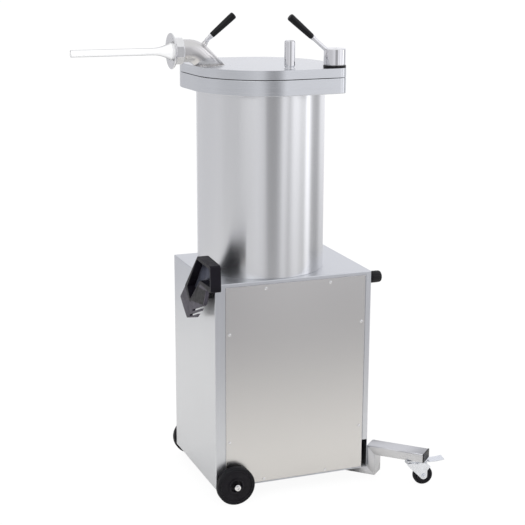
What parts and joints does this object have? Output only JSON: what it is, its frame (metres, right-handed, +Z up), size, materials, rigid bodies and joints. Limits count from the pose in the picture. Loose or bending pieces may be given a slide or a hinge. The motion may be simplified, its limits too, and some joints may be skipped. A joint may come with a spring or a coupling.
{
  "type": "sausage stuffer",
  "caption": "Upright hydraulic sausage stuffer: steel barrel on a wheeled cabinet, swing lid with clamp, outlet elbow, tap, filling nozzle and knee lever.",
  "frame": {"origin": "on the floor, under the axis of the meat barrel", "axes": "+Z up along the barrel's axis; -X is the operator's side, where the knee lever is and where the nozzle points; -Y is the wide side with the near cover, next to the clamp knob"},
  "size_m": [0.9464, 0.567, 1.2725],
  "materials": {
    "steel_sheet": "brushed",
    "steel_panel": "brushed",
    "barrel_steel": "polished along the height",
    "flange_steel": "brushed round the edge",
    "elbow_steel": "satin polished",
    "tube_steel": "brushed",
    "screw_steel": "bright",
    "chrome": "polished",
    "zinc": "zinc plated",
    "frame_steel": "primer",
    "painted_grey": "satin paint",
    "painted_blue": "satin paint",
    "cast_metal": "as cast",
    "black_plastic": "moulded",
    "pad_plastic": "moulded, fine grain",
    "wheel_plastic": "moulded",
    "wheel_rubber": "satin",
    "black_rubber": "matt",
    "grey_plastic": "moulded",
    "white_plastic": "translucent white",
    "green_plastic": "moulded",
    "red_plastic": "moulded"
  },
  "bodies": {
    "root": {"cabinet_shell": "steel_sheet", "side_cover_near": "steel_panel", "side_cover_far": "steel_panel", "cover_screws": "screw_steel", "base_plate": "frame_steel", "deck_plate": "frame_steel", "barrel": "barrel_steel", "barrel_flange": "flange_steel", "clamp_post": "screw_steel", "lid_catch": "screw_steel", "wheel_axle": "screw_steel", "outrigger_arms": "tube_steel", "outrigger_caps": "black_plastic", "outrigger_bolts": "screw_steel", "caster_plates": "zinc", "hydraulic_cylinder": "painted_grey", "cylinder_gland": "painted_grey", "cylinder_cap": "painted_grey", "tie_rods": "screw_steel", "motor_body": "painted_blue", "bell_housing": "cast_metal", "pump_body": "cast_metal", "oil_tank": "painted_grey", "tank_filler_cap": "black_plastic", "valve_block": "cast_metal", "oil_pipes": "screw_steel", "electrical_box": "grey_plastic", "switch_plate": "steel_panel", "power_cable": "black_rubber", "knee_bush": "cast_metal"},
    "piston": {"piston_rod": "chrome", "ram_piston": "cast_metal", "meat_piston": "steel_sheet", "piston_seals": "black_rubber"},
    "lid": {"lid_plate": "flange_steel", "lid_gasket": "black_rubber", "outlet_elbow": "elbow_steel", "hand_post": "chrome"},
    "clamp": {"clamp_knob": "chrome", "clamp_lever": "black_plastic"},
    "tap": {"tap_flap": "steel_sheet", "tap_lever": "black_plastic"},
    "nozzle": {"filling_nozzle": "white_plastic"},
    "nut": {"nozzle_nut": "elbow_steel"},
    "knee": {"knee_pad": "pad_plastic", "knee_crank": "screw_steel"},
    "spool": {"valve_spool": "screw_steel"},
    "speed": {"speed_knob": "black_plastic"},
    "start_button": {"start_button": "green_plastic"},
    "stop_button": {"stop_button": "red_plastic"},
    "wheel_near": {"wheel_near": "wheel_plastic"},
    "wheel_far": {"wheel_far": "wheel_plastic"},
    "caster_near": {"caster_fork_near": "zinc"},
    "caster_far": {"caster_fork_far": "zinc"},
    "brake_near": {"brake_near": "zinc"},
    "brake_far": {"brake_far": "zinc"},
    "caster_wheel_near": {"caster_wheel_near": "wheel_rubber"},
    "caster_wheel_far": {"caster_wheel_far": "wheel_rubber"},
    "drive": {"drive_shaft": "frame_steel"},
    "gear": {"driven_gear": "frame_steel"}
  },
  "joints": [
    {"name": "piston_lift", "type": "slide", "parent": "root", "child": "piston", "axis": [0, 0, 1], "range_m": [0, 0.455]},
    {"name": "lid_swing", "type": "hinge", "parent": "root", "child": "lid", "pos_m": [0.146, -0.146, 1.125], "axis": [0, 0, 1], "range_deg": [0, 110]},
    {"name": "clamp_turn", "type": "hinge", "parent": "root", "child": "clamp", "pos_m": [0.146, -0.146, 1.15], "axis": [0, 0, 1], "range_deg": [0, 180]},
    {"name": "tap_turn", "type": "hinge", "parent": "lid", "child": "tap", "pos_m": [-0.17132, 0, 1.16656], "axis": [0.5736, 0, 0.8192], "range_deg": [0, 90]},
    {"name": "nut_turn", "type": "hinge", "parent": "nozzle", "child": "nut", "pos_m": [-0.23, 0, 1.1756], "axis": [1, 0, 0], "range_deg": [0, 720]},
    {"name": "nozzle_draw", "type": "slide", "parent": "lid", "child": "nozzle", "axis": [-1, 0, 0], "range_m": [0, 0.0121]},
    {"name": "knee_swing", "type": "hinge", "parent": "root", "child": "knee", "pos_m": [-0.195, -0.075, 0.556], "axis": [1, 0, 0], "range_deg": [-12, 12]},
    {"name": "spool_slide", "type": "slide", "parent": "root", "child": "spool", "axis": [0, 1, 0], "range_m": [-0.0085, 0.0085]},
    {"name": "speed_turn", "type": "hinge", "parent": "root", "child": "speed", "pos_m": [0.251, -0.15, 0.576], "axis": [1, 0, 0], "range_deg": [0, 270]},
    {"name": "start_press", "type": "slide", "parent": "root", "child": "start_button", "axis": [-1, 0, 0], "range_m": [0, 0.003]},
    {"name": "stop_press", "type": "slide", "parent": "root", "child": "stop_button", "axis": [-1, 0, 0], "range_m": [0, 0.003]},
    {"name": "wheel_near_roll", "type": "hinge", "parent": "root", "child": "wheel_near", "pos_m": [-0.14, -0.195, 0.052], "axis": [0, 1, 0], "continuous": true},
    {"name": "wheel_far_roll", "type": "hinge", "parent": "root", "child": "wheel_far", "pos_m": [-0.14, 0.195, 0.052], "axis": [0, 1, 0], "continuous": true},
    {"name": "caster_near_swivel", "type": "hinge", "parent": "root", "child": "caster_near", "pos_m": [0.36487, -0.24324, 0.066], "axis": [0, 0, 1], "continuous": true},
    {"name": "caster_far_swivel", "type": "hinge", "parent": "root", "child": "caster_far", "pos_m": [0.36487, 0.24324, 0.066], "axis": [0, 0, 1], "continuous": true},
    {"name": "caster_near_roll", "type": "hinge", "parent": "caster_near", "child": "caster_wheel_near", "pos_m": [0.38653, -0.24707, 0.027], "axis": [0.1736, 0.9848, 0], "continuous": true},
    {"name": "caster_far_roll", "type": "hinge", "parent": "caster_far", "child": "caster_wheel_far", "pos_m": [0.38653, 0.24707, 0.027], "axis": [-0.1736, 0.9848, 0], "continuous": true},
    {"name": "brake_near_press", "type": "hinge", "parent": "caster_near", "child": "brake_near", "pos_m": [0.37767, -0.2455, 0.061], "axis": [0.1736, 0.9848, 0], "range_deg": [0, 10]},
    {"name": "brake_far_press", "type": "hinge", "parent": "caster_far", "child": "brake_far", "pos_m": [0.37767, 0.2455, 0.061], "axis": [-0.1736, 0.9848, 0], "range_deg": [0, 10]},
    {"name": "drive_spin", "type": "hinge", "parent": "root", "child": "drive", "pos_m": [0.15, 0, 0.32], "axis": [0, 1, 0], "continuous": true},
    {"name": "gear_spin", "type": "hinge", "parent": "root", "child": "gear", "pos_m": [0.15, 0.06, 0.36], "axis": [0, 1, 0], "continuous": true}
  ],
  "couplings": [
    {"joint": "gear_spin", "follows": "drive_spin", "ratio": -1},
    {"joint": "spool_slide", "follows": "knee_swing", "m_per_rad": 0.04},
    {"joint": "nozzle_draw", "follows": "nut_turn", "m_per_rad": 0.00095493}
  ]
}
